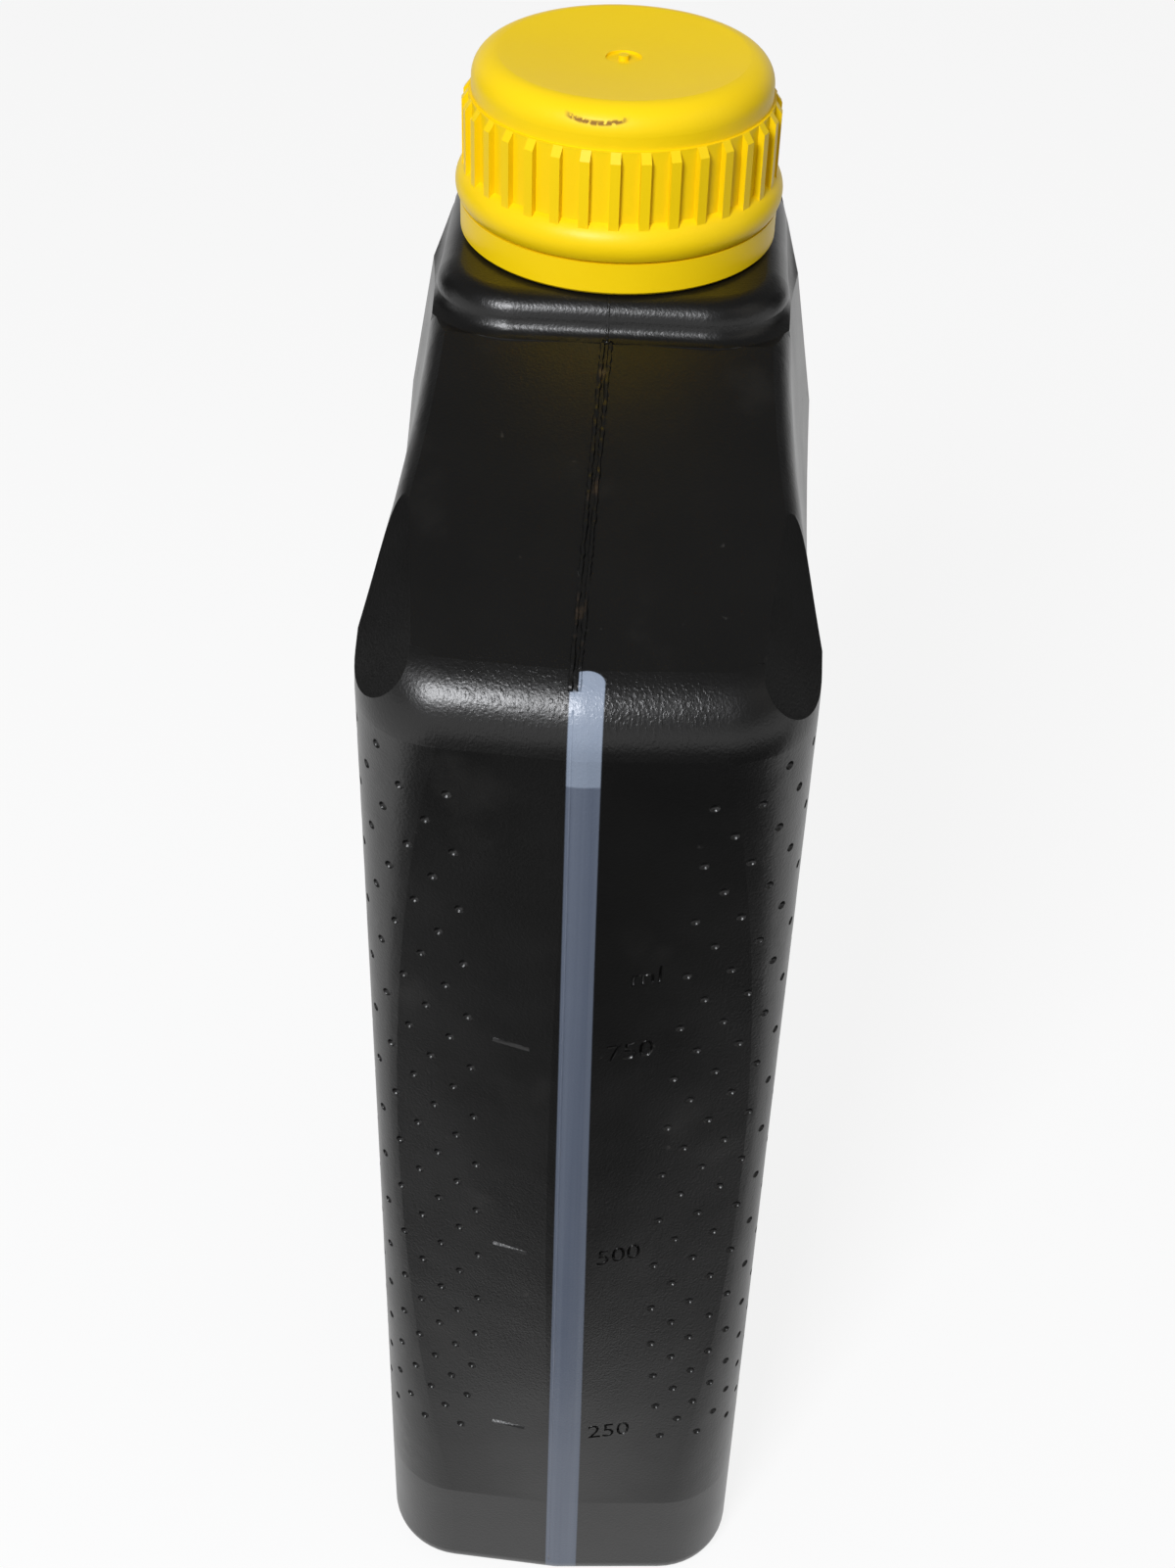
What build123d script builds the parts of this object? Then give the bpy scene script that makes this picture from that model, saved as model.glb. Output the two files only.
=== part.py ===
"""One-litre motor oil bottle: blown body with a keeled narrow side, set-back neck and ribbed screw cap."""
import os
from math import cos, pi, radians, sin, tan

from build123d import *

# Bottle body, in millimetres
LENGTH = 116.4
DEPTH = 57.0
WALL = 1.1
KEEL_ANGLE = 4.0
KEEL_R = 9.0
CORNER_R = 12.0
CREST_Z = 185.0
CREST_R = 10.0
CREST_STEPS = 5
RAMP_ANGLE = 19.8
BACK_ANGLE = 36.0
BACK_R = 11.0

# Shoulder sides: a wide hollow beside the ramp and a lean that draws in behind the neck
LEAN_ANGLE = 9.7
HOLLOW_BACK = 46.2
HOLLOW_DROP = 11.5
HOLLOW_R = 250.0
BACK_LEAN_DROP = 1.0
BACK_TAPER = 4.0
EDGE_R = 5.0

# Flat facets beside the ramp: places set back from the front, in from the broad face and below the ramp
FACET_START_BACK = 42.2
FACET_START_IN = 4.2
FACET_END_BACK = 7.2
FACET_END_IN = 8.3
FACET_LOW_BACK = 13.2
FACET_LOW_IN = 2.3
FACET_LOW_DROP = 5.5

# Grip: between heel and crest the keel sharpens and the corners fall back
GRIP_ANGLE = 19.0
GRIP_LOW_Z = 22.0
GRIP_STEPS = 6
GRIP_FULLNESS = 0.75

# Base
BASE_R = 4.0
BASE_RIM = 8.0
BASE_PUSH_UP = 2.5
BASE_PUSH_TAPER = 40.0
PUSH_CORNER_R = 9.0

# Label panels, a shallow step in each broad face
PANEL_LENGTH = 76.0
PANEL_LOW_Z = 30.0
PANEL_HIGH_Z = 166.0
PANEL_R = 7.0
PANEL_STEP = 0.5

# Collar and neck
NECK_BACK = 37.4
COLLAR_LENGTH = 46.0
COLLAR_IN = 4.9
COLLAR_CORNER_R = 11.0
COLLAR_RISE = 4.85
COLLAR_TAPER = 8.5
COLLAR_R = 3.2
COLLAR_FOOT_R = 2.0
COLLAR_FOOT_STEPS = 4
NECK_R = 17.3
BORE_R = 15.3
NECK_H = 21.0
BEAD_R = 19.4
BEAD_Z = 2.6
BEAD_H = 1.4
RIM_R = 0.7

# Clearances
FACE_GAP = 0.05
BAND_GAP = 0.2
TURN_GAP = 0.3

# Tamper band
BAND_H = 4.3
BAND_R = 21.5
BAND_WALL = 1.4
BAND_LIP_H = 1.2

# Cap
CAP_R = 20.3
CAP_WALL = 1.6
CAP_TOP = 1.7
CAP_EDGE_R = 3.4
CAP_STEP = 0.35
CAP_DISH = 0.8
FLARE_R = 22.1
FLARE_H = 4.8
RIB_COUNT = 34
RIB_H = 9.4
RIB_RISE = 0.9
RIB_WIDTH = 1.3
RIB_CHAMFER = 1.2
GATE_R = 2.4
GATE_DEPTH = 0.35
NUB_R = 0.7

# Liner and fill
LINER_H = 1.4
OIL_GAP = 0.1
OIL_Z = 174.0

HALF = LENGTH / 2
SPARE = 10.0
LAP = 0.04
RAMP = radians(RAMP_ANGLE)
BACK = radians(BACK_ANGLE)
NECK_X = NECK_BACK - HALF
COLLAR_DEPTH = DEPTH - 2 * COLLAR_IN
COLLAR_FRONT_X = NECK_X + COLLAR_LENGTH / 2
COLLAR_BACK_X = NECK_X - COLLAR_LENGTH / 2
DECK_MARGIN = COLLAR_FOOT_R + 0.3
DECK_Z = CREST_Z + (HALF - COLLAR_FRONT_X - DECK_MARGIN) * tan(RAMP)
COLLAR_Z = DECK_Z + COLLAR_RISE
CAP_Z = BAND_GAP + BAND_H + TURN_GAP
LINER_Z = NECK_H + FACE_GAP
CAP_TOP_Z = LINER_Z + LINER_H + FACE_GAP + CAP_TOP


def ramp_z(x, inset=0.0):
    """Height of the sloping shoulder at x, lowered by the inset."""
    return CREST_Z + (HALF - x) * tan(RAMP) - inset / cos(RAMP)


def back_z(x, inset=0.0):
    """Height of the short back slope at x, lowered by the inset."""
    return DECK_Z + (x - COLLAR_BACK_X + DECK_MARGIN) * tan(BACK) - inset / cos(BACK)


def keel_tip(inset, angle):
    """Where the two faces of the keel would meet without its rounding."""
    return HALF + KEEL_R * (1 / cos(radians(angle)) - 1) - inset / cos(radians(angle))


def corner_run(angle):
    """Length of broad face that a corner of unit radius takes up."""
    return tan(radians(90 - angle) / 2)


def plan_face(z, inset, angle, set_back=0.0):
    """Plan of the body: two shallow keels joined by broad faces of one length at every height."""
    half_y = DEPTH / 2 - inset
    tip = keel_tip(inset, angle)
    side = tip - half_y * tan(radians(angle))
    flat = keel_tip(0, KEEL_ANGLE) - DEPTH / 2 * tan(radians(KEEL_ANGLE)) - CORNER_R * corner_run(KEEL_ANGLE)
    corner_r = (side - flat) / corner_run(angle)
    front = [(side - set_back, -half_y), (tip - set_back, 0), (side - set_back, half_y)]
    back = [(-side, half_y), (-tip, 0), (-side, -half_y)]
    outline = FilletPolyline(*front, *back, radius=[corner_r, KEEL_R - inset, corner_r] * 2, close=True)
    return Pos(0, 0, z) * make_face(outline)


def crest_start(inset):
    """Height where the rounded crest begins."""
    return ramp_z(HALF - inset, inset) - (CREST_R - inset) * tan(radians(90 - RAMP_ANGLE) / 2)


def front_profile(inset):
    """Section under the ramp and the deck, run out past the crest."""
    deck = DECK_Z - inset
    x_deck = HALF - (deck + inset / cos(RAMP) - CREST_Z) / tan(RAMP)
    x_in = NECK_X - 2
    x_out = HALF + SPARE
    points = [(x_in, 0), (x_out, 0), (x_out, ramp_z(x_out, inset + LAP)), (x_deck, deck), (x_in, deck)]
    return Plane.XZ * make_face(Polyline(*points, close=True))


def back_profile(inset):
    """Section under the deck, the short back slope and its rounded corner."""
    deck = DECK_Z - inset
    round_r = BACK_R - inset
    x_out = -keel_tip(inset, KEEL_ANGLE) - LAP
    x_deck = COLLAR_BACK_X - DECK_MARGIN + inset * (1 / cos(BACK) - 1) / tan(BACK)
    z_out = back_z(x_out, inset)
    points = [(NECK_X, 0), (x_out, 0), (x_out, z_out), (x_deck, deck), (NECK_X, deck)]
    corner = make_face(FilletPolyline(*points, radius=[0, 0, round_r, 0, 0], close=True))
    start_z = z_out - round_r * tan(radians(90 - BACK_ANGLE) / 2)
    x_far = x_out - SPARE
    below = Pos((NECK_X + x_far) / 2, start_z / 2) * Rectangle(NECK_X - x_far, start_z)
    return Plane.XZ * (corner + below)


def keel_block(inset):
    """Front and back halves, each swept back from the keel to both broad faces."""
    angle = radians(KEEL_ANGLE)
    reach = (DEPTH / 2 + SPARE) / cos(angle)
    block = Part()
    for profile, way in ((front_profile(inset), -1), (back_profile(inset), 1)):
        for side in (-1, 1):
            block += extrude(profile, reach, dir=(way * sin(angle), side * cos(angle), 0))
    return block


def outside(start, end, low, inset, side):
    """Everything beyond the plane through three points of the +Y side, drawn in and put on either side."""
    start, end, low = (Vector(point.X, side * point.Y, point.Z) for point in (start, end, low))
    outward = (end - start).cross(low - start).normalized() * side
    plane = Plane(origin=start - outward * inset, x_dir=end - start, z_dir=outward)
    return plane * Box(3 * LENGTH, 3 * LENGTH, DEPTH, align=(Align.CENTER, Align.CENTER, Align.MIN))


def hollow_cutter(inset, side):
    """Drum that leans in and hollows the side of the shoulder beside the ramp."""
    drum = Cylinder(HOLLOW_R + inset, 2 * LENGTH)
    out = DEPTH / 2 + HOLLOW_R / cos(radians(LEAN_ANGLE))
    place = Pos(HALF - HOLLOW_BACK, side * out, CREST_Z - HOLLOW_DROP)
    return place * Rot(side * LEAN_ANGLE, 0, 0) * drum


def back_cutter(inset, side):
    """Everything outside the side of the shoulder behind the neck."""
    half_y = DEPTH / 2
    rise = SPARE * tan(radians(LEAN_ANGLE))
    draw = SPARE * tan(radians(BACK_TAPER))
    lean_z = CREST_Z - BACK_LEAN_DROP
    start = Vector(NECK_X, half_y, lean_z)
    end = Vector(NECK_X + SPARE, half_y + draw, lean_z)
    low = Vector(NECK_X, half_y + rise, lean_z - SPARE)
    return outside(start, end, low, inset, side)


def hood(slope, cutter, inset):
    """Everything under a slope and between its two sides, with rounded edges where they meet."""
    ends = (-LENGTH, LENGTH)
    points = [(x, slope(x, inset) + LAP) for x in ends] + [(x, -LENGTH) for x in reversed(ends)]
    block = extrude(Plane.XZ * make_face(Polyline(*points, close=True)), LENGTH, both=True)
    for side in (-1, 1):
        block -= cutter(inset, side)
    edges = block.faces().sort_by(Axis.Z)[-1].edges().sort_by(Axis.Y)
    return fillet([edges[0], edges[-1]], EDGE_R - inset)


def beside_ramp(back, inward, drop=0.0):
    """Point of the +Y side, set back from the front, in from the broad face and below the ramp."""
    x = HALF - back
    return Vector(x, DEPTH / 2 - inward, ramp_z(x) - drop)


def facet_cutter(inset, side):
    """Everything outside the flat facet beside the ramp."""
    start = beside_ramp(FACET_START_BACK, FACET_START_IN)
    end = beside_ramp(FACET_END_BACK, FACET_END_IN)
    low = beside_ramp(FACET_LOW_BACK, FACET_LOW_IN, FACET_LOW_DROP)
    return outside(start, end, low, inset, side)


def foot(inset):
    """Straight foot of the body with its rounded lower edge."""
    block = extrude(plan_face(inset, inset, KEEL_ANGLE), GRIP_LOW_Z - inset)
    return fillet(block.faces().sort_by(Axis.Z)[0].edges(), BASE_R - inset * 0.7)


def grip(inset):
    """Waist of the body, where the keel sharpens and eases again."""
    top = crest_start(inset)
    sections = []
    for step in range(GRIP_STEPS + 1):
        share = step / GRIP_STEPS
        angle = KEEL_ANGLE + (GRIP_ANGLE - KEEL_ANGLE) * abs(sin(pi * share)) ** GRIP_FULLNESS
        sections.append(plan_face(GRIP_LOW_Z + (top - GRIP_LOW_Z) * share, inset, angle))
    return loft(sections)


def shoulder(inset):
    """Rounded crest, ramp and deck above the grip."""
    round_r = CREST_R - inset
    sections = []
    for step in range(CREST_STEPS + 1):
        turn = radians(90 - RAMP_ANGLE) * step / CREST_STEPS
        height = crest_start(inset) + round_r * sin(turn)
        sections.append(plan_face(height, inset, KEEL_ANGLE, round_r * (1 - cos(turn))))
    block = loft(sections) + extrude(sections[-1], COLLAR_Z - CREST_Z)
    return block & keel_block(inset)


def push_up(inset):
    """Hollow under the base that leaves a standing rim."""
    length = LENGTH - 2 * (BASE_RIM - inset)
    depth = DEPTH - 2 * (BASE_RIM - inset)
    face = RectangleRounded(length, depth, PUSH_CORNER_R + inset)
    return extrude(face, BASE_PUSH_UP + inset, taper=BASE_PUSH_TAPER)


def label_panel(inset, side):
    """Shallow step for a label in one broad face."""
    width = PANEL_LENGTH + 2 * inset
    height = PANEL_HIGH_Z - PANEL_LOW_Z + 2 * inset
    place = Pos(0, side * (DEPTH / 2 - inset), (PANEL_LOW_Z + PANEL_HIGH_Z) / 2)
    face = Plane.XZ * RectangleRounded(width, height, PANEL_R + inset)
    return place * extrude(face, PANEL_STEP, both=True)


def collar_face(inset, grow, z):
    """Plan of the collar, drawn in by the inset and grown sideways."""
    width = COLLAR_LENGTH + 2 * (grow - inset)
    depth = COLLAR_DEPTH + 2 * (grow - inset)
    return Pos(NECK_X, 0, z) * RectangleRounded(width, depth, COLLAR_CORNER_R + grow - inset)


def collar(inset):
    """Tapered boss that carries the neck, swept out at its foot and rounded above."""
    foot_r = COLLAR_FOOT_R + inset
    deck = DECK_Z - inset
    sections = []
    for step in range(COLLAR_FOOT_STEPS + 1):
        turn = radians(90 - COLLAR_TAPER) * step / COLLAR_FOOT_STEPS
        sections.append(collar_face(inset, foot_r * (1 - sin(turn)), deck + foot_r * (1 - cos(turn))))
    low = extrude(sections[0], -COLLAR_RISE)
    wall = extrude(sections[-1], COLLAR_RISE - foot_r * (1 - cos(turn)), taper=COLLAR_TAPER)
    wall = fillet(wall.faces().sort_by(Axis.Z)[-1].edges(), COLLAR_R - inset)
    return low + loft(sections) + wall


def bottle_form(inset):
    """Closed form of the bottle without its neck, drawn in by the inset."""
    body = foot(inset) + grip(inset) + shoulder(inset) - push_up(inset)
    body = body & hood(ramp_z, hollow_cutter, inset) & hood(back_z, back_cutter, inset)
    body += collar(inset)
    for side in (-1, 1):
        for cutter in (hollow_cutter, back_cutter, facet_cutter, label_panel):
            body -= cutter(inset, side)
    return body


def ring(points):
    """Solid of revolution about the neck from points of radius and height above the collar."""
    outline = Polyline(*points, close=True)
    turned = revolve(make_face(Plane.XZ * outline), Axis.Z)
    return Pos(NECK_X, 0, COLLAR_Z) * turned


def neck():
    """Neck tube with the bead that keeps the tamper band, open at the rim."""
    root = -COLLAR_RISE
    bead_top = BEAD_Z + BEAD_H
    step = BEAD_R - NECK_R
    points = [
        (BORE_R, root),
        (NECK_R, root),
        (NECK_R, BEAD_Z),
        (BEAD_R, BEAD_Z),
        (BEAD_R, bead_top - BEAD_H / 2),
        (NECK_R, bead_top + step * 0.3),
        (NECK_R, NECK_H - RIM_R),
        (NECK_R - RIM_R, NECK_H),
        (BORE_R, NECK_H),
    ]
    return ring(points)


def bottle():
    """Hollow blown bottle of even wall."""
    cavity = bottle_form(WALL)
    bore_z = DECK_Z - COLLAR_RISE
    bore_h = 2 * COLLAR_RISE + NECK_H + SPARE
    bore = Pos(NECK_X, 0, bore_z) * Cylinder(BORE_R, bore_h, align=(Align.CENTER, Align.CENTER, Align.MIN))
    return bottle_form(0) + neck() - cavity - bore


def oil():
    """Fill up to the one-litre level."""
    fill = bottle_form(WALL + OIL_GAP)
    top = Pos(0, 0, OIL_Z) * Box(300, 200, 200, align=(Align.CENTER, Align.CENTER, Align.MIN))
    return fill - top


def tamper_band():
    """Ring left on the neck, with a catch lip under the bead."""
    low = BAND_GAP
    high = low + BAND_H
    inner = BAND_R - BAND_WALL
    lip_r = NECK_R + TURN_GAP
    lip_z = BEAD_Z - BAND_GAP
    edge = BAND_WALL / 4
    points = [
        (lip_r, lip_z - BAND_LIP_H),
        (inner, low),
        (BAND_R - edge, low),
        (BAND_R, low + edge),
        (BAND_R, high),
        (inner, high),
        (inner, lip_z),
        (lip_r, lip_z),
    ]
    return ring(points)


def cap_shell():
    """Drum with its flare and rounded top edge, hollow below the top plate."""
    flare_top = CAP_Z + FLARE_H
    rib_top = flare_top + RIB_H
    drum_r = CAP_R - CAP_STEP
    inner = CAP_R - CAP_WALL
    flare_in = BAND_R - CAP_WALL
    ceiling = CAP_TOP_Z - CAP_TOP
    edge_mid = CAP_EDGE_R * (1 - sin(radians(45)))
    flare = [(BAND_R, CAP_Z), (FLARE_R, CAP_Z + FLARE_H * 0.5), (CAP_R, flare_top)]
    flat_r = drum_r - CAP_EDGE_R
    edge = [(drum_r, CAP_TOP_Z - CAP_EDGE_R), (drum_r - edge_mid, CAP_TOP_Z - edge_mid), (flat_r, CAP_TOP_Z)]
    dish = [edge[-1], (flat_r / 2, CAP_TOP_Z - CAP_DISH * 0.75), (0, CAP_TOP_Z - CAP_DISH)]
    inside = [(0, ceiling), (inner, ceiling), (inner, flare_top)]
    inside += [(flare_in, CAP_Z + FLARE_H * 0.6), (flare_in, CAP_Z)]
    outline = ThreePointArc(*flare)
    outline += Polyline(flare[-1], (CAP_R, rib_top), (drum_r, rib_top), edge[0])
    outline += ThreePointArc(*edge)
    outline += ThreePointArc(*dish)
    outline += Polyline(dish[-1], *inside, flare[0])
    return Pos(NECK_X, 0, COLLAR_Z) * revolve(make_face(Plane.XZ * outline), Axis.Z)


def cap_rib():
    """One grip rib with a sloped upper end."""
    root = CAP_R - CAP_WALL / 2
    low = CAP_Z + FLARE_H * 0.6
    high = CAP_Z + FLARE_H + RIB_H
    tip = CAP_R + RIB_RISE
    points = [(root, low), (tip, low), (tip, high - RIB_CHAMFER), (CAP_R, high), (root, high)]
    return extrude(make_face(Plane.XZ * Polyline(*points, close=True)), RIB_WIDTH / 2, both=True)


def cap():
    """Ribbed screw cap with the gate mark in its top."""
    place = Pos(NECK_X, 0, COLLAR_Z)
    rib = cap_rib()
    body = cap_shell()
    body += [place * Rot(0, 0, turn * 360 / RIB_COUNT) * rib for turn in range(RIB_COUNT)]
    gate = Pos(NECK_X, 0, COLLAR_Z + CAP_TOP_Z - CAP_DISH)
    body -= gate * Cylinder(GATE_R, 2 * GATE_DEPTH)
    return body + gate * Cylinder(NUB_R, 2 * GATE_DEPTH)


def cap_liner():
    """Sealing wad between the rim and the top of the cap."""
    radius = CAP_R - CAP_WALL - TURN_GAP
    return ring([(0, LINER_Z), (radius, LINER_Z), (radius, LINER_Z + LINER_H), (0, LINER_Z + LINER_H)])


os.makedirs("parts", exist_ok=True)
export_step(bottle(), "parts/bottle.step")
export_step(oil(), "parts/oil.step")
export_step(tamper_band(), "parts/tamper_band.step")
export_step(cap(), "parts/cap.step")
export_step(cap_liner(), "parts/cap_liner.step")
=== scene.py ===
"""Looks of the motor oil bottle: black plastic with a level stripe, grip dimples and a yellow screw cap."""
import math
import random

import bmesh
import bpy
from mathutils import Matrix, Vector
from mathutils.bvhtree import BVHTree
from mathutils.interpolate import poly_3d_calc


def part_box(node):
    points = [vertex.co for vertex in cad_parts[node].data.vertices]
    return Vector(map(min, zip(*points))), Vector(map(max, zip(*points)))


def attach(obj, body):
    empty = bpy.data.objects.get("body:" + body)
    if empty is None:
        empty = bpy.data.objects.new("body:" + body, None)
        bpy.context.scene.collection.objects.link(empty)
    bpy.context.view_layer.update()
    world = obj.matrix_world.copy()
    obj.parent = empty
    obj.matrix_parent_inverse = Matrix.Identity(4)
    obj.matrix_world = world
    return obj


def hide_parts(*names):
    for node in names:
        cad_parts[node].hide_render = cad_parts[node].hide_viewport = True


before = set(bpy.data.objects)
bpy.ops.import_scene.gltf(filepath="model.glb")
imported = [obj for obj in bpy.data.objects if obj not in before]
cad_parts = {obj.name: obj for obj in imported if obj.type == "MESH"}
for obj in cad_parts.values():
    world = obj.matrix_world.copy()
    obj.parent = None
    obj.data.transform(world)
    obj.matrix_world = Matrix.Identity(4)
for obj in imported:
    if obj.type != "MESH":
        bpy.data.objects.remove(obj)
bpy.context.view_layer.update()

MM = 0.001
FAR = 0.3
WELD = 0.001 * MM
SAME_SURFACE = 0.01 * MM
SAME_WAY = 0.9
OFF_EDGE = 0.02

# Camera, fitted to the outline in the photograph
CAMERA_PLACE = Vector((256.2, 6.63, 337.1)) * MM
CAMERA_YAW = math.radians(1.67)
CAMERA_PITCH = math.radians(39.35)
CAMERA_ROLL = math.radians(1.99)
CAMERA_LENS = 49.41
SENSOR_WIDTH = 36.0

# Lamps, floor and world; levels are strengths, where 1 is white
AIM = Vector((0, 0, 0.15))
LAMP_DISTANCE = 0.85
FLOOR_RADIUS = 6.0
FLOOR_DROP = 0.1 * MM
FLOOR_LIT_SHARE = 0.15
BAND_LOW = math.radians(3)
BAND_HIGH = math.radians(22)
BAND_LEVEL = 0.9
OVERHEAD_LEVEL = 0.12
PLAIN_LEVEL = 0.38

# Dark cards that only the gloss of the plastic shows
FLOOR_CARD_LOW = Vector((0.094, -0.15, 0.002))
FLOOR_CARD_HIGH = Vector((0.75, 0.55, 0.002))
SIDE_CARD_LOW = Vector((-0.42, 0.42, 0.12))
SIDE_CARD_HIGH = Vector((-0.08, 0.42, 0.42))

# Grip dimples: a diamond lattice round both corners of each narrow side
DOT_R = 0.75 * MM
DOT_DEPTH = 0.45 * MM
DOT_PITCH = 10.0 * MM
DOT_STEP = 3.0 * MM
DOT_COLUMNS = 7
DOT_HIGH_COLUMN = 3
DOT_TOP_Z = 170.2 * MM
DOT_LOW_Z = 36.0 * MM
DOT_WAIST_Z = 78.0 * MM
DOT_WAIST_Y = 13.2 * MM
DOT_SWEEP = 3.4 * MM
DOT_SHRINK = 0.75
DOT_HIGH_RISE = 0.55 * DOT_PITCH
DOT_SLACK = 0.1 * MM
CORNER_X = 20 * MM
CORNER_RAYS = 181
CORNER_STEP = 0.45

# Engraved level marks
MARK_TEXTS = ("250", "500", "750")
MARK_LOW_Z = 41.2 * MM
MARK_STEP_Z = 43.0 * MM
MARK_Y = 7.7 * MM
MARK_SIZE = 4.6 * MM
MARK_DEPTH = 0.38 * MM
UNIT_Y = 9.4 * MM
UNIT_RISE = 13.8 * MM
TICK_Y = -8.3 * MM
TICK_LENGTH = 5.4 * MM
TICK_WIDTH = 0.55 * MM

# Level stripe
STRIPE_Y = 0.35 * MM
STRIPE_HALF_TOP = 2.05 * MM
STRIPE_HALF_LOW = 2.55 * MM
STRIPE_DRIFT = 0.5 * MM
STRIPE_END = 7.5 * MM
STRIPE_EDGE = 0.12 * MM
STRIPE_BACK_X = 47.0 * MM
STRIPE_CREST_Z = 183.6 * MM
STRIPE_CUT_Z = (185.4 * MM, 185.8 * MM)
STRIPE_CUT_Y = (-0.6 * MM, -0.8 * MM)
LEVEL_EDGE = 0.2 * MM

# Parting seam over the ramp, its dirt, and fine parting lines down the collar, the keels and under the base
SEAM_START_X = 4.0 * MM
SEAM_END_X = 54.6 * MM
SEAM_Y = -0.2 * MM
SEAM_DRIFT = -0.02
SEAM_HALF = 0.34 * MM
SEAM_HEIGHT = 0.32 * MM
SEAM_GAP = 0.5 * MM
SEAM_STEP = 0.6 * MM
DIRT_Z = (186 * MM, 188 * MM)
COLLAR_LINE_X = -2 * MM
COLLAR_LINE_STEP = 0.1 * MM
LINE_HALF = 0.16 * MM
LINE_HEIGHT = 0.06 * MM
LINE_STEP = 1.5 * MM
LINE_Y = -1.2 * MM
LINE_LOW_Z = 5 * MM
LINE_TOP_Z = {1: 184 * MM, -1: 178 * MM}
BASE_LINE_INSET = 14 * MM

# Rubbed middle of the front crest: where the wear fades in on each side
RUBBED_LOW_Z = (178 * MM, 182 * MM)
RUBBED_HIGH_Z = (190 * MM, 187 * MM)
RUBBED_Y = (20 * MM, 12 * MM)
RUBBED_X = (40 * MM, 46 * MM)

# Scuff on the cap's top edge
SCUFF_ANGLE = math.radians(-8)
SCUFF_HALF = math.radians(13)
SCUFF_DROP = 1.9 * MM
SCUFF_BOW = 0.7 * MM
SCUFF_EDGE = (0.42 * MM, 0.1 * MM)

# Screw thread
THREAD_PITCH = 4.0 * MM
THREAD_HEIGHT = 0.85 * MM
THREAD_HALF = 0.75 * MM
THREAD_TOP = 3.2 * MM
THREAD_STATIONS = 60
THREAD_FADE = 12
NECK_TURNS = 2.4
CAP_TURNS = 1.8


def mesh_object(name, bm):
    """Object made from a bmesh, which is used up."""
    mesh = bpy.data.meshes.new(name)
    bm.to_mesh(mesh)
    bm.free()
    obj = bpy.data.objects.new(name, mesh)
    bpy.context.collection.objects.link(obj)
    return obj


def cad_copy(node, name):
    """Copy of a CAD node with its split corners joined."""
    bm = bmesh.new()
    bm.from_mesh(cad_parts[node].data)
    bmesh.ops.remove_doubles(bm, verts=bm.verts, dist=WELD)
    return mesh_object(name, bm)


def combine(target, other, operation):
    """Boolean of two closed meshes; the second object is used up."""
    modifier = target.modifiers.new("Combine", "BOOLEAN")
    modifier.operation = operation
    modifier.solver = "MANIFOLD"
    modifier.object = other
    shaped = target.evaluated_get(bpy.context.evaluated_depsgraph_get())
    mesh = bpy.data.meshes.new_from_object(shaped)
    target.modifiers.clear()
    target.data = mesh
    bpy.data.objects.remove(other)


def tree_of(node):
    """Ray-casting tree of a CAD node."""
    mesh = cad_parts[node].data
    return BVHTree.FromPolygons([v.co for v in mesh.vertices], [p.vertices for p in mesh.polygons])


bottle_tree = tree_of("bottle")
bottle_low, bottle_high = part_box("bottle")
cap_low, cap_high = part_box("cap")
oil_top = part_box("oil")[1].z
neck_x = (cap_low.x + cap_high.x) / 2


def front_point(y, z, end=1):
    """Point and normal of the narrow side at y and z; end is 1 for the striped side and -1 for the back."""
    place, normal, _, _ = bottle_tree.ray_cast(Vector((end * FAR, y, z)), Vector((-end, 0, 0)))
    return place, normal


def top_point(x, y):
    """Point and normal of the shoulder seen from above."""
    place, normal, _, _ = bottle_tree.ray_cast(Vector((x, y, FAR)), Vector((0, 0, -1)))
    return place, normal


def base_point(x, y):
    """Point and normal of the underside."""
    place, normal, _, _ = bottle_tree.ray_cast(Vector((x, y, -FAR)), Vector((0, 0, 1)))
    return place, normal


def ridge(name, stations, half_width, height, ragged=0.0):
    """Closed raised line through stations of place, surface normal and height share."""
    rng = random.Random(name)
    bm = bmesh.new()
    rings = []
    for i, (place, normal, share) in enumerate(stations):
        ahead = stations[min(i + 1, len(stations) - 1)][0] - stations[max(i - 1, 0)][0]
        across = ahead.cross(normal).normalized()
        left = half_width * (1 + ragged * rng.uniform(-1, 1))
        right = half_width * (1 + ragged * rng.uniform(-1, 1))
        top = height * share * (1 + ragged * rng.uniform(-1, 1))
        profile = [(-left, -height), (-left * 0.9, 0), (-left * 0.5, top), (right * 0.5, top)]
        profile += [(right * 0.9, 0), (right, -height)]
        rings.append([bm.verts.new(place + across * a + normal * b) for a, b in profile])
    for ring, following in zip(rings, rings[1:]):
        for k in range(len(ring)):
            n = (k + 1) % len(ring)
            bm.faces.new((ring[k], ring[n], following[n], following[k]))
    bm.faces.new(list(reversed(rings[0])))
    bm.faces.new(rings[-1])
    bmesh.ops.recalc_face_normals(bm, faces=bm.faces)
    return mesh_object(name, bm)


def spread(start, end, step):
    """Even values from start to end, about a step apart."""
    count = max(2, round(abs(end - start) / step))
    return [start + (end - start) * i / count for i in range(count + 1)]


def dot_rows():
    """Heights of the dimple rows, closing up below the waist."""
    rows = [DOT_TOP_Z + DOT_PITCH]
    while rows[-1] > DOT_LOW_Z - DOT_PITCH:
        below = max(0.0, DOT_WAIST_Z - rows[-1]) / (DOT_WAIST_Z - DOT_LOW_Z)
        rows.append(rows[-1] - DOT_PITCH * (1 - (1 - DOT_SHRINK) * min(1.0, 0.4 + below) * (below > 0)))
    return rows


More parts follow.
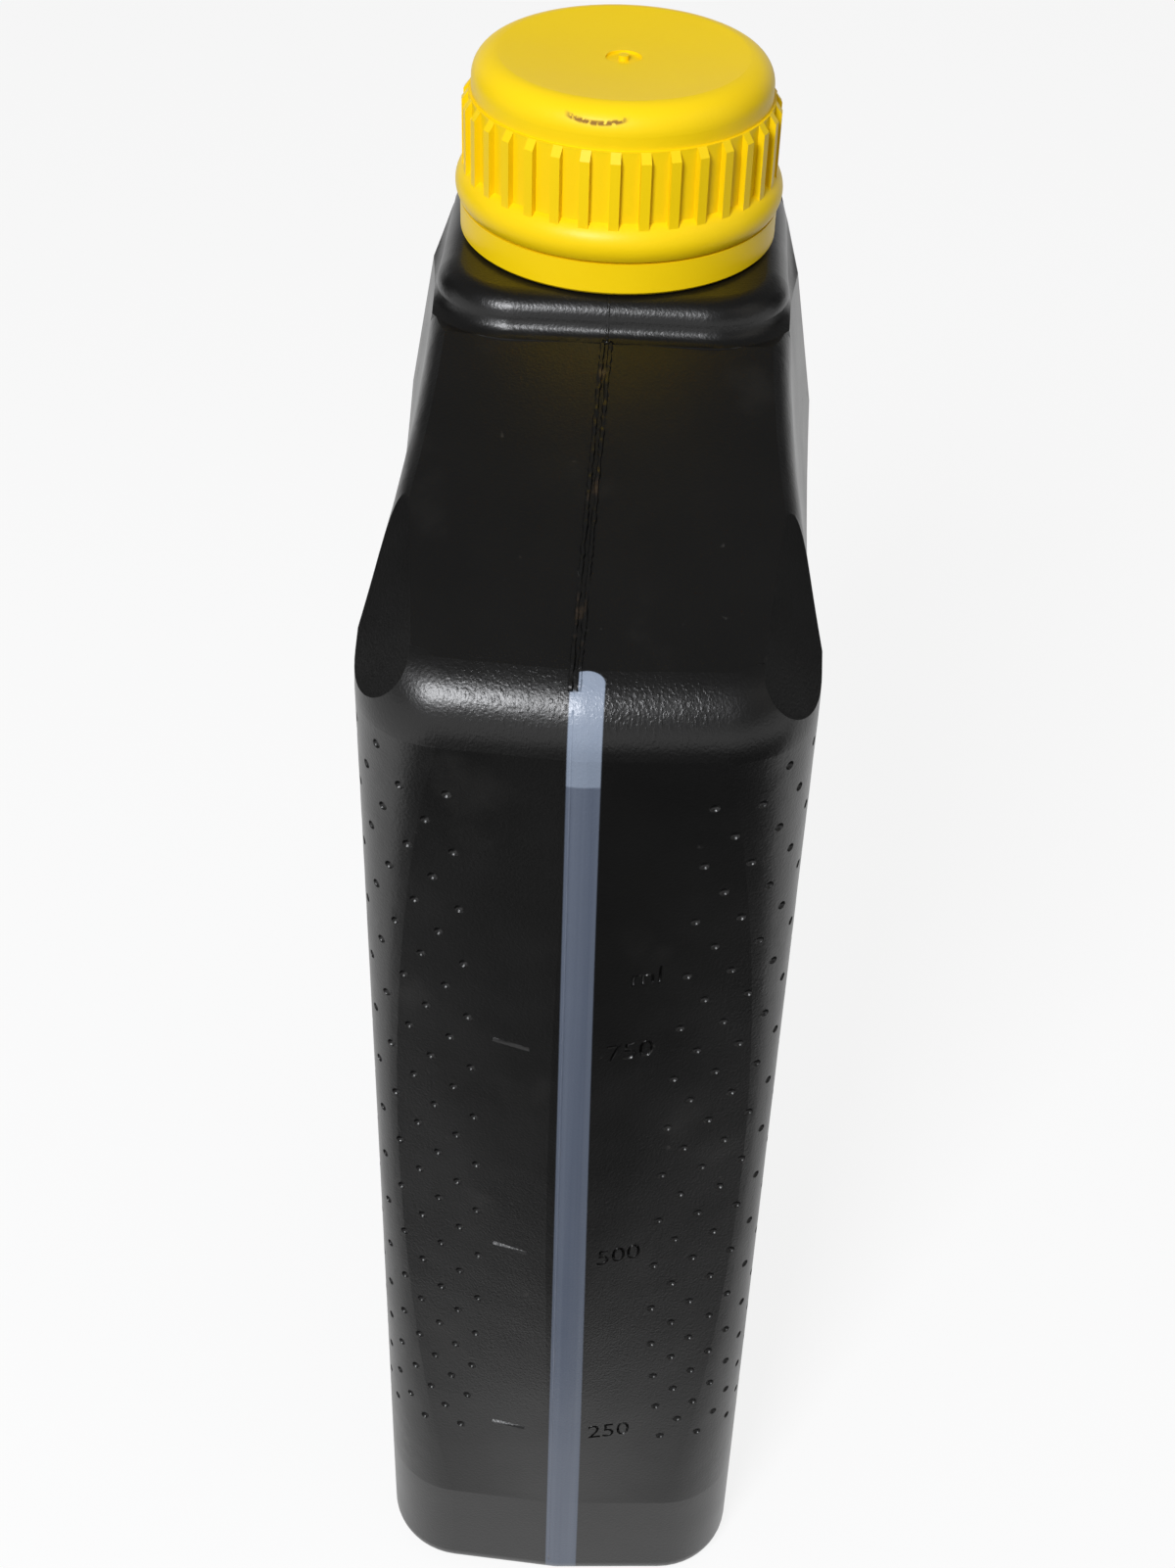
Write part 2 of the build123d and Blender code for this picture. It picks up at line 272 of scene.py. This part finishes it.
def first_dot_y(z):
    """Distance of the first dimple column from the keel, which swings out above and below the waist."""
    span = DOT_TOP_Z - DOT_WAIST_Z if z > DOT_WAIST_Z else DOT_WAIST_Z - DOT_LOW_Z
    return DOT_WAIST_Y + DOT_SWEEP * ((z - DOT_WAIST_Z) / span) ** 2


def corner_outline(z):
    """Points and normals round one front corner at a height, from the keel to the broad face."""
    centre = Vector((CORNER_X, 0, z))
    found = []
    for i in range(CORNER_RAYS):
        turn = math.radians(i * CORNER_STEP)
        way = Vector((math.cos(turn), math.sin(turn), 0))
        place, normal, _, _ = bottle_tree.ray_cast(centre + way * FAR, -way)
        found.append((place, normal))
    return found


def walk(outline, start_y, distance):
    """Place and normal on an outline, a distance past where it first reaches start_y."""
    left = distance
    for (a, normal_a), (b, normal_b) in zip(outline, outline[1:]):
        if b.y < start_y:
            continue
        run = (b - a).length
        if left <= run:
            share = left / run
            return a.lerp(b, share), normal_a.lerp(normal_b, share).normalized()
        left -= run
    return outline[-1]


def dimple_places():
    """Place and outward normal of every grip dimple."""
    rows = dot_rows()
    for column in range(DOT_COLUMNS):
        heights = rows if column % 2 == 0 else [(a + b) / 2 for a, b in zip(rows, rows[1:])]
        limit = DOT_TOP_Z + (DOT_HIGH_RISE if column >= DOT_HIGH_COLUMN else DOT_SLACK)
        for z in heights:
            if not DOT_LOW_Z < z < limit:
                continue
            place, normal = walk(corner_outline(z), first_dot_y(z), column * DOT_STEP)
            for end in (1, -1):
                for side in (1, -1):
                    flip = Vector((end, side, 1))
                    yield place * flip, normal * flip


def dimple_cutter():
    """All grip dimples as one mesh of small balls."""
    ball = bmesh.new()
    bmesh.ops.create_uvsphere(ball, u_segments=12, v_segments=10, radius=DOT_R)
    ball.verts.index_update()
    corners = [v.co.copy() for v in ball.verts]
    sides = [[v.index for v in face.verts] for face in ball.faces]
    ball.free()
    verts, faces = [], []
    for place, normal in dimple_places():
        middle = place + normal * (DOT_R - DOT_DEPTH)
        turn = normal.to_track_quat("Z", "Y")
        faces += [[len(verts) + k for k in side] for side in sides]
        verts += [middle + turn @ corner for corner in corners]
    mesh = bpy.data.meshes.new("dimple_cutter")
    mesh.from_pydata(verts, [], faces)
    obj = bpy.data.objects.new("dimple_cutter", mesh)
    bpy.context.collection.objects.link(obj)
    return obj


def mark_frame(y, z):
    """Axes on the striped side: x along the surface, y up, z outward."""
    place, normal = front_point(y, z)
    across = Vector((0, 0, 1)).cross(normal).normalized()
    up = normal.cross(across)
    return Matrix.Translation(place) @ Matrix((across, up, normal)).transposed().to_4x4()


def engraved_text(text, size):
    """Closed mesh of level mark figures, centred on its own origin."""
    curve = bpy.data.curves.new(f"figures_{text}", "FONT")
    curve.body = text
    curve.size = size
    curve.align_x = "CENTER"
    curve.align_y = "CENTER"
    curve.extrude = MARK_DEPTH
    curve.resolution_u = 3
    obj = bpy.data.objects.new(curve.name, curve)
    bpy.context.collection.objects.link(obj)
    mesh = bpy.data.meshes.new_from_object(obj.evaluated_get(bpy.context.evaluated_depsgraph_get()))
    bpy.data.objects.remove(obj)
    bpy.data.curves.remove(curve)
    return mesh


def add_figures(bm, text, matrix):
    """Put engraved figures into a bmesh at a place on the surface."""
    mesh = engraved_text(text, MARK_SIZE)
    mesh.transform(matrix)
    bm.from_mesh(mesh)
    bpy.data.meshes.remove(mesh)


def mark_cutter():
    """Ticks and figures of the level scale as one mesh."""
    bm = bmesh.new()
    bar = Matrix.Diagonal((TICK_LENGTH, TICK_WIDTH, TICK_WIDTH, 1))
    groove = Matrix.Rotation(math.radians(45), 4, "X") @ bar
    for i, text in enumerate(MARK_TEXTS):
        z = MARK_LOW_Z + MARK_STEP_Z * i
        add_figures(bm, text, mark_frame(MARK_Y, z))
        bmesh.ops.create_cube(bm, size=1, matrix=mark_frame(TICK_Y, z) @ groove)
    add_figures(bm, "ml", mark_frame(UNIT_Y, z + UNIT_RISE))
    bmesh.ops.remove_doubles(bm, verts=bm.verts, dist=WELD)
    return mesh_object("mark_cutter", bm)


def seam_y(x):
    """Sideways place of the pinch-off seam along the ramp."""
    return SEAM_Y + SEAM_DRIFT * (x - SEAM_START_X)


def seam_ridges():
    """Ragged seam over the ramp, fine lines down the collar and keels, and the line under the base."""
    for shift in (-SEAM_GAP, SEAM_GAP):
        along = spread(SEAM_START_X, SEAM_END_X, SEAM_STEP)
        lip = [(*top_point(x, seam_y(x) + shift), 1.0) for x in along]
        yield ridge(f"seam_ramp_{shift}", lip, SEAM_HALF, SEAM_HEIGHT, 0.45)
    along = spread(COLLAR_LINE_X, SEAM_START_X, COLLAR_LINE_STEP)
    collar = [(*top_point(x, SEAM_Y), 1.0) for x in along]
    yield ridge("seam_collar", collar, 1.5 * LINE_HALF, 2 * LINE_HEIGHT, 0.2)
    for end in (1, -1):
        heights = spread(LINE_LOW_Z, LINE_TOP_Z[end], LINE_STEP)
        line = [(*front_point(end * LINE_Y, z, end), 1.0) for z in heights]
        yield ridge(f"seam_keel_{end}", line, LINE_HALF, LINE_HEIGHT, 0.2)
    along = spread(bottle_low.x + BASE_LINE_INSET, bottle_high.x - BASE_LINE_INSET, LINE_STEP)
    under = [(*base_point(x, 0), 1.0) for x in along]
    yield ridge("seam_base", under, SEAM_HALF, SEAM_HEIGHT, 0.3)


def helix(radius, low, high, turns, inward, phase):
    """Stations of a screw thread on a round wall, fading out at both ends."""
    stations = []
    count = round(turns * THREAD_STATIONS)
    for i in range(count + 1):
        share = i / count
        angle = 2 * math.pi * turns * share + phase
        way = Vector((math.cos(angle), math.sin(angle), 0))
        place = Vector((neck_x, 0, low + (high - low) * share)) + way * radius
        fade = min(1.0, THREAD_FADE * share, THREAD_FADE * (1 - share))
        stations.append((place, -way if inward else way, max(0.02, fade)))
    return stations


def wall_radius(tree, z, inside):
    """Radius about the neck axis of a wall met from outside or from the axis."""
    axis = Vector((neck_x, 0, z))
    way = Vector((0, 1, 0))
    start, direction = (axis, way) if inside else (axis + way * FAR, -way)
    place, _, _, _ = tree.ray_cast(start, direction)
    return (place - axis).length


def neck_thread():
    """Thread on the neck, below the rim."""
    high = bottle_high.z - THREAD_TOP
    low = high - NECK_TURNS * THREAD_PITCH
    radius = wall_radius(bottle_tree, (low + high) / 2, inside=False)
    stations = helix(radius, low, high, NECK_TURNS, inward=False, phase=0.0)
    return ridge("neck_thread", stations, THREAD_HALF, THREAD_HEIGHT)


def cap_thread():
    """Thread inside the cap, half a pitch off the neck's."""
    high = bottle_high.z - THREAD_TOP - THREAD_PITCH * 0.5
    low = high - CAP_TURNS * THREAD_PITCH
    radius = wall_radius(tree_of("cap"), (low + high) / 2, inside=True)
    phase = 2 * math.pi * (NECK_TURNS - CAP_TURNS)
    stations = helix(radius, low, high, CAP_TURNS, inward=True, phase=phase)
    return ridge("cap_thread", stations, THREAD_HALF, THREAD_HEIGHT)


def smooth(obj, angle):
    """Smooth shading with creases kept where faces meet at more than an angle."""
    obj.data.shade_smooth()
    obj.data.set_sharp_from_angle(angle=math.radians(angle))


def keep_cad_normals(skin, node):
    """Shade what is left of the CAD surface by the CAD's own normals, and new faces by theirs."""
    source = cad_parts[node].data
    tree = tree_of(node)
    given = [corner.vector.copy() for corner in source.corner_normals]
    normals = [corner.vector.copy() for corner in skin.data.corner_normals]
    for face in skin.data.polygons:
        for loop in face.loop_indices:
            corner = skin.data.vertices[skin.data.loops[loop].vertex_index].co
            place, normal, index, distance = tree.find_nearest(corner.lerp(face.center, OFF_EDGE))
            if distance > SAME_SURFACE or normal.dot(face.normal) < SAME_WAY:
                continue
            triangle = source.polygons[index]
            points = [source.vertices[v].co for v in triangle.vertices]
            shares = poly_3d_calc(points, place)
            blended = sum((given[k] * share for k, share in zip(triangle.loop_indices, shares)), Vector())
            normals[loop] = blended.normalized()
    skin.data.normals_split_custom_set(normals)


class Nodes:
    """Short way to write a material's node tree."""

    def __init__(self, name):
        self.material = bpy.data.materials.new(name)
        self.material.use_nodes = True
        self.tree = self.material.node_tree
        self.shader = self.tree.nodes["Principled BSDF"]
        self.place = self.add("ShaderNodeTexCoord").outputs["Object"]

    def add(self, kind, *inputs, **settings):
        """New node; inputs are values or sockets in order, None to skip one."""
        node = self.tree.nodes.new(kind)
        for key, value in settings.items():
            setattr(node, key, value)
        for socket, value in zip(node.inputs, inputs):
            if isinstance(value, bpy.types.NodeSocket):
                self.tree.links.new(value, socket)
            elif value is not None:
                socket.default_value = value
        return node

    def math(self, operation, *values):
        """Result of a math node."""
        return self.add("ShaderNodeMath", *values, operation=operation).outputs[0]

    def step(self, value, low, high):
        """0 to 1 as a value passes smoothly from low to high."""
        node = self.add("ShaderNodeMapRange", value, low, high, 0.0, 1.0, interpolation_type="SMOOTHSTEP")
        return node.outputs[0]

    def blend(self, share, first, second):
        """Colour between two colours."""
        node = self.add("ShaderNodeMix", data_type="RGBA")
        for socket, value in zip((node.inputs[0], node.inputs[6], node.inputs[7]), (share, first, second)):
            if isinstance(value, bpy.types.NodeSocket):
                self.tree.links.new(value, socket)
            else:
                socket.default_value = value
        return node.outputs[2]

    def noise(self, scale, stretch=(1, 1, 1), detail=2.0):
        """Noise value at so many features a metre."""
        place = self.add("ShaderNodeMapping", self.place, None, None, stretch).outputs[0]
        node = self.add("ShaderNodeTexNoise")
        self.tree.links.new(place, node.inputs["Vector"])
        node.inputs["Scale"].default_value = scale
        node.inputs["Detail"].default_value = detail
        return node.outputs["Fac"]

    def parts(self):
        """The x, y and z of the surface point."""
        return self.add("ShaderNodeSeparateXYZ", self.place).outputs

    def bump(self, height, distance, under=None):
        """Normal with a raised pattern."""
        node = self.add("ShaderNodeBump")
        node.inputs["Distance"].default_value = distance
        self.tree.links.new(height, node.inputs["Height"])
        if under:
            self.tree.links.new(under, node.inputs["Normal"])
        return node.outputs[0]

    def finish(self, **inputs):
        """Set or link the shader's sockets and give the material."""
        for name, value in inputs.items():
            socket = self.shader.inputs[name.replace("_", " ")]
            if isinstance(value, bpy.types.NodeSocket):
                self.tree.links.new(value, socket)
            else:
                socket.default_value = value
        return self.material


def stripe_mask(nodes):
    """1 inside the clear level stripe, whose rounded upper end the seam cuts on one side."""
    x, y, z = nodes.parts()
    low = nodes.step(z, bottle_high.z * 0.8, 0.0)
    centre = nodes.math("MULTIPLY_ADD", low, STRIPE_DRIFT, STRIPE_Y)
    half = nodes.math("MULTIPLY_ADD", low, STRIPE_HALF_LOW - STRIPE_HALF_TOP, STRIPE_HALF_TOP)
    crest = front_point(0, STRIPE_CREST_Z)[0]
    along = nodes.math("SUBTRACT", nodes.math("SUBTRACT", z, x), crest.z - crest.x)
    past = nodes.math("MAXIMUM", nodes.math("SUBTRACT", along, STRIPE_END - STRIPE_HALF_TOP), 0.0)
    aside = nodes.math("SUBTRACT", y, centre)
    square = nodes.math("ADD", nodes.math("POWER", aside, 2.0), nodes.math("POWER", past, 2.0))
    reach = nodes.math("SQRT", square)
    outside = nodes.math("SUBTRACT", reach, half)
    inside = nodes.step(outside, STRIPE_EDGE, -STRIPE_EDGE)
    front = nodes.math("GREATER_THAN", x, STRIPE_BACK_X)
    beyond = nodes.math("MULTIPLY", nodes.step(z, *STRIPE_CUT_Z), nodes.step(y, *STRIPE_CUT_Y))
    open_side = nodes.math("SUBTRACT", front, beyond)
    return nodes.math("MULTIPLY", inside, open_side)


def seam_dirt(nodes):
    """Share of brown dirt caught beside the pinch-off seam."""
    x, y, z = nodes.parts()
    line = nodes.math("MULTIPLY_ADD", x, SEAM_DRIFT, SEAM_Y - SEAM_DRIFT * SEAM_START_X)
    near = nodes.step(nodes.math("ABSOLUTE", nodes.math("SUBTRACT", y, line)), 1.6 * SEAM_GAP, SEAM_GAP)
    ramp = nodes.step(z, *DIRT_Z)
    patch = nodes.step(nodes.noise(240, detail=4.0), 0.56, 0.68)
    return nodes.math("MULTIPLY", nodes.math("MULTIPLY", near, ramp), patch)


def crest_mask(nodes):
    """1 on the middle of the front crest, where the bottle rubs against others."""
    x, y, z = nodes.parts()
    height = nodes.math("MULTIPLY", nodes.step(z, *RUBBED_LOW_Z), nodes.step(z, *RUBBED_HIGH_Z))
    middle = nodes.step(nodes.math("ABSOLUTE", y), *RUBBED_Y)
    return nodes.math("MULTIPLY", nodes.math("MULTIPLY", height, middle), nodes.step(x, *RUBBED_X))


def black_plastic():
    """Blown black plastic with a fine grain, draw lines, dust, a rubbed crest and the clear stripe."""
    nodes = Nodes("bottle_black")
    z = nodes.parts()["Z"]
    tone = nodes.noise(35, detail=4.0)
    black = nodes.blend(tone, (0.0026, 0.0026, 0.0027, 1), (0.0062, 0.006, 0.0056, 1))
    dust = nodes.step(nodes.noise(420, detail=3.0), 0.72, 0.80)
    smudge = nodes.step(nodes.noise(60, detail=6.0), 0.58, 0.75)
    soiled = nodes.math("MULTIPLY", nodes.math("ADD", dust, nodes.math("MULTIPLY", smudge, 0.25)), 0.05)
    black = nodes.blend(soiled, black, (0.4, 0.38, 0.35, 1))
    black = nodes.blend(seam_dirt(nodes), black, (0.03, 0.02, 0.012, 1))
    level = nodes.step(z, oil_top - LEVEL_EDGE, oil_top + LEVEL_EDGE)
    streak = nodes.noise(900, (1, 1, 0.01))
    clear = nodes.blend(level, (0.078, 0.098, 0.145, 1), (0.22, 0.265, 0.345, 1))
    clear = nodes.blend(nodes.math("MULTIPLY", streak, 0.25), clear, (0.4, 0.44, 0.5, 1))
    colour = nodes.blend(stripe_mask(nodes), black, clear)
    rough = nodes.math("MULTIPLY_ADD", nodes.noise(90, detail=4.0), 0.14, 0.25)
    rough = nodes.math("MULTIPLY_ADD", soiled, 4.0, rough)
    grain = nodes.bump(nodes.noise(2600, detail=1.0), 0.03 * MM)
    lines = nodes.bump(nodes.noise(260, (1, 1, 0.02)), 0.02 * MM, grain)
    waves = nodes.bump(nodes.noise(70, detail=1.0), 0.12 * MM, lines)
    nicks = nodes.step(nodes.noise(2200, (1, 1, 0.2), detail=3.0), 0.5, 0.7)
    scratched = nodes.bump(nodes.math("MULTIPLY", nicks, crest_mask(nodes)), 0.02 * MM, waves)
    return nodes.finish(Base_Color=colour, Roughness=rough, Normal=scratched, Specular_IOR_Level=0.5)


def yellow_plastic():
    """Moulded yellow plastic with a satin skin and a brown scuff on the front of the cap's top edge."""
    nodes = Nodes("cap_yellow")
    x, y, z = nodes.parts()
    tone = nodes.noise(60, detail=4.0)
    yellow = nodes.blend(tone, (0.91, 0.61, 0.002, 1), (0.96, 0.68, 0.004, 1))
    angle = nodes.math("ARCTAN2", y, nodes.math("SUBTRACT", x, neck_x))
    aside = nodes.math("DIVIDE", nodes.math("SUBTRACT", angle, SCUFF_ANGLE), SCUFF_HALF)
    bow = nodes.math("POWER", aside, 2.0)
    middle = nodes.math("MULTIPLY_ADD", bow, SCUFF_BOW, cap_high.z - SCUFF_DROP)
    above = nodes.math("ABSOLUTE", nodes.math("SUBTRACT", z, middle))
    band = nodes.step(above, *SCUFF_EDGE)
    short = nodes.step(nodes.math("ABSOLUTE", aside), 1.0, 0.7)
    broken = nodes.step(nodes.noise(1500, detail=3.0), 0.34, 0.52)
    scuff = nodes.math("MULTIPLY", nodes.math("MULTIPLY", band, short), broken)
    specks = nodes.step(nodes.noise(700, detail=2.0), 0.77, 0.82)
    soiled = nodes.math("MAXIMUM", scuff, nodes.math("MULTIPLY", specks, 0.35))
    colour = nodes.blend(soiled, yellow, (0.30, 0.15, 0.02, 1))
    rough = nodes.math("MULTIPLY_ADD", tone, 0.12, 0.34)
    rough = nodes.math("MULTIPLY_ADD", soiled, 0.3, rough)
    skin = nodes.bump(nodes.noise(1800, detail=1.0), 0.012 * MM)
    sink = nodes.bump(nodes.noise(120, detail=1.0), 0.05 * MM, skin)
    return nodes.finish(Base_Color=colour, Roughness=rough, Normal=sink, Specular_IOR_Level=0.25)


def white_foam():
    """Pressed foam of the cap's sealing wad."""
    nodes = Nodes("liner_white")
    cells = nodes.noise(1500, detail=3.0)
    colour = nodes.blend(cells, (0.70, 0.69, 0.65, 1), (0.84, 0.83, 0.80, 1))
    return nodes.finish(Base_Color=colour, Roughness=0.75, Normal=nodes.bump(cells, 0.04 * MM))


def amber_oil():
    """Clear amber engine oil."""
    nodes = Nodes("oil_amber")
    cloud = nodes.noise(25, detail=3.0)
    colour = nodes.blend(cloud, (0.30, 0.13, 0.010, 1), (0.42, 0.20, 0.018, 1))
    rough = nodes.math("MULTIPLY_ADD", cloud, 0.05, 0.03)
    return nodes.finish(Base_Color=colour, Roughness=rough, IOR=1.47, Coat_Weight=0.4)


def paint(obj, material):
    """Give an object one material."""
    obj.data.materials.clear()
    obj.data.materials.append(material)


def build_bottle(material):
    """Bottle skin: the CAD bottle with dimples and marks cut in, seams and neck thread raised."""
    skin = cad_copy("bottle", "bottle_skin")
    combine(skin, dimple_cutter(), "DIFFERENCE")
    combine(skin, mark_cutter(), "DIFFERENCE")
    for raised in (*seam_ridges(), neck_thread()):
        combine(skin, raised, "UNION")
    smooth(skin, angle=32)
    keep_cad_normals(skin, "bottle")
    paint(skin, material)
    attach(skin, "bottle_body")
    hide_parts("bottle")


def build_cap(material):
    """Cap thread, and materials of the cap's CAD pieces."""
    thread = cap_thread()
    smooth(thread, angle=40)
    paint(thread, material)
    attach(thread, "cap_body")
    for node in ("cap", "tamper_band"):
        paint(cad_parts[node], material)


def area_light(name, azimuth, elevation, size, power, colour):
    """Soft square lamp turned to the bottle; azimuth runs from the striped side towards +Y."""
    data = bpy.data.lights.new(name, "AREA")
    data.size = size
    data.energy = power
    data.color = colour
    lamp = bpy.data.objects.new(name, data)
    flat = math.cos(math.radians(elevation))
    turn = math.radians(azimuth)
    way = Vector((flat * math.cos(turn), flat * math.sin(turn), math.sin(math.radians(elevation))))
    lamp.location = AIM + way * LAMP_DISTANCE
    lamp.rotation_euler = (-way).to_track_quat("-Z", "Y").to_euler()
    lamp.visible_camera = False
    bpy.context.collection.objects.link(lamp)


def seen_background(tree):
    """1 for rays that should meet the white background: camera, glossy and transmission rays."""
    path = tree.nodes.new("ShaderNodeLightPath")
    total = path.outputs["Is Camera Ray"]
    for name in ("Is Glossy Ray", "Is Transmission Ray"):
        node = tree.nodes.new("ShaderNodeMath")
        node.operation = "MAXIMUM"
        tree.links.new(total, node.inputs[0])
        tree.links.new(path.outputs[name], node.inputs[1])
        total = node.outputs[0]
    return total


def floor_material():
    """White floor that keeps the shadow: part plain white glow, part lit surface."""
    material = bpy.data.materials.new("floor_white")
    material.use_nodes = True
    tree = material.node_tree
    tree.nodes.clear()
    glow = tree.nodes.new("ShaderNodeEmission")
    tree.links.new(seen_background(tree), glow.inputs["Strength"])
    lit = tree.nodes.new("ShaderNodeBsdfDiffuse")
    lit.inputs["Color"].default_value = (0.9, 0.9, 0.9, 1)
    mix = tree.nodes.new("ShaderNodeMixShader")
    mix.inputs["Fac"].default_value = FLOOR_LIT_SHARE
    tree.links.new(glow.outputs[0], mix.inputs[1])
    tree.links.new(lit.outputs[0], mix.inputs[2])
    out = tree.nodes.new("ShaderNodeOutputMaterial")
    tree.links.new(mix.outputs[0], out.inputs["Surface"])
    return material


def build_world():
    """Pale round the horizon, dim overhead, and a plain level of light on the object."""
    world = bpy.data.worlds.new("studio")
    bpy.context.scene.world = world
    world.use_nodes = True
    tree = world.node_tree
    place = tree.nodes.new("ShaderNodeTexCoord")
    split = tree.nodes.new("ShaderNodeSeparateXYZ")
    tree.links.new(place.outputs["Generated"], split.inputs[0])
    seen = tree.nodes.new("ShaderNodeMapRange")
    seen.interpolation_type = "SMOOTHSTEP"
    seen.inputs["From Min"].default_value = math.sin(BAND_LOW)
    seen.inputs["From Max"].default_value = math.sin(BAND_HIGH)
    seen.inputs["To Min"].default_value = BAND_LEVEL
    seen.inputs["To Max"].default_value = OVERHEAD_LEVEL
    tree.links.new(split.outputs["Z"], seen.inputs["Value"])
    level = tree.nodes.new("ShaderNodeMix")
    level.inputs[2].default_value = PLAIN_LEVEL
    tree.links.new(seen_background(tree), level.inputs[0])
    tree.links.new(seen.outputs[0], level.inputs[3])
    ground = tree.nodes["Background"]
    ground.inputs["Color"].default_value = (1, 1, 1, 1)
    tree.links.new(level.outputs[0], ground.inputs["Strength"])


def dark_card(name, corners):
    """Black card that only shows in the gloss: the camera, shadows and soft light pass it by."""
    bm = bmesh.new()
    bm.faces.new([bm.verts.new(corner) for corner in corners])
    card = mesh_object(name, bm)
    material = bpy.data.materials.new(name)
    material.use_nodes = True
    shader = material.node_tree.nodes["Principled BSDF"]
    shader.inputs["Base Color"].default_value = (0.03, 0.03, 0.03, 1)
    shader.inputs["Roughness"].default_value = 0.9
    paint(card, material)
    card.visible_camera = False
    card.visible_shadow = False
    card.visible_diffuse = False


def build_floor():
    """Round white floor just under the bottle's foot."""
    bm = bmesh.new()
    bmesh.ops.create_circle(bm, cap_ends=True, segments=64, radius=FLOOR_RADIUS)
    floor = mesh_object("floor", bm)
    floor.location.z = -FLOOR_DROP
    paint(floor, floor_material())


def build_cards():
    """Dark card on the floor before the stripe and one standing on each side behind the shoulder."""
    low, high = FLOOR_CARD_LOW, FLOOR_CARD_HIGH
    dark_card("floor_card", [low, (high.x, low.y, low.z), high, (low.x, high.y, low.z)])
    low, high = SIDE_CARD_LOW, SIDE_CARD_HIGH
    for side in (-1, 1):
        corners = [low, (high.x, low.y, low.z), high, (low.x, low.y, high.z)]
        dark_card(f"side_card_{side}", [Vector(corner) * Vector((1, side, 1)) for corner in corners])


def build_camera():
    """Camera at the photograph's place."""
    data = bpy.data.cameras.new("camera")
    data.lens = CAMERA_LENS
    data.sensor_width = SENSOR_WIDTH
    camera = bpy.data.objects.new("camera", data)
    bpy.context.collection.objects.link(camera)
    flat = math.cos(CAMERA_PITCH)
    ahead = Vector((-math.cos(CAMERA_YAW) * flat, -math.sin(CAMERA_YAW) * flat, -math.sin(CAMERA_PITCH)))
    right = Vector((-math.sin(CAMERA_YAW), math.cos(CAMERA_YAW), 0))
    up = right.cross(ahead)
    turned_right = right * math.cos(CAMERA_ROLL) + up * math.sin(CAMERA_ROLL)
    turned_up = up * math.cos(CAMERA_ROLL) - right * math.sin(CAMERA_ROLL)
    turn = Matrix((turned_right, turned_up, -ahead)).transposed().to_4x4()
    camera.matrix_world = Matrix.Translation(CAMERA_PLACE) @ turn
    bpy.context.scene.camera = camera


def build_stage():
    """Floor, world, lamps, cards and camera."""
    build_floor()
    build_world()
    area_light("key", azimuth=-20, elevation=40, size=0.23, power=6.3, colour=(0.96, 0.97, 1.0))
    area_light("fill", azimuth=70, elevation=40, size=0.5, power=0.35, colour=(1.0, 0.94, 0.86))
    build_cards()
    build_camera()
    bpy.context.scene.view_settings.view_transform = "Standard"


build_bottle(black_plastic())
build_cap(yellow_plastic())
paint(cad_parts["cap_liner"], white_foam())
paint(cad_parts["oil"], amber_oil())
build_stage()
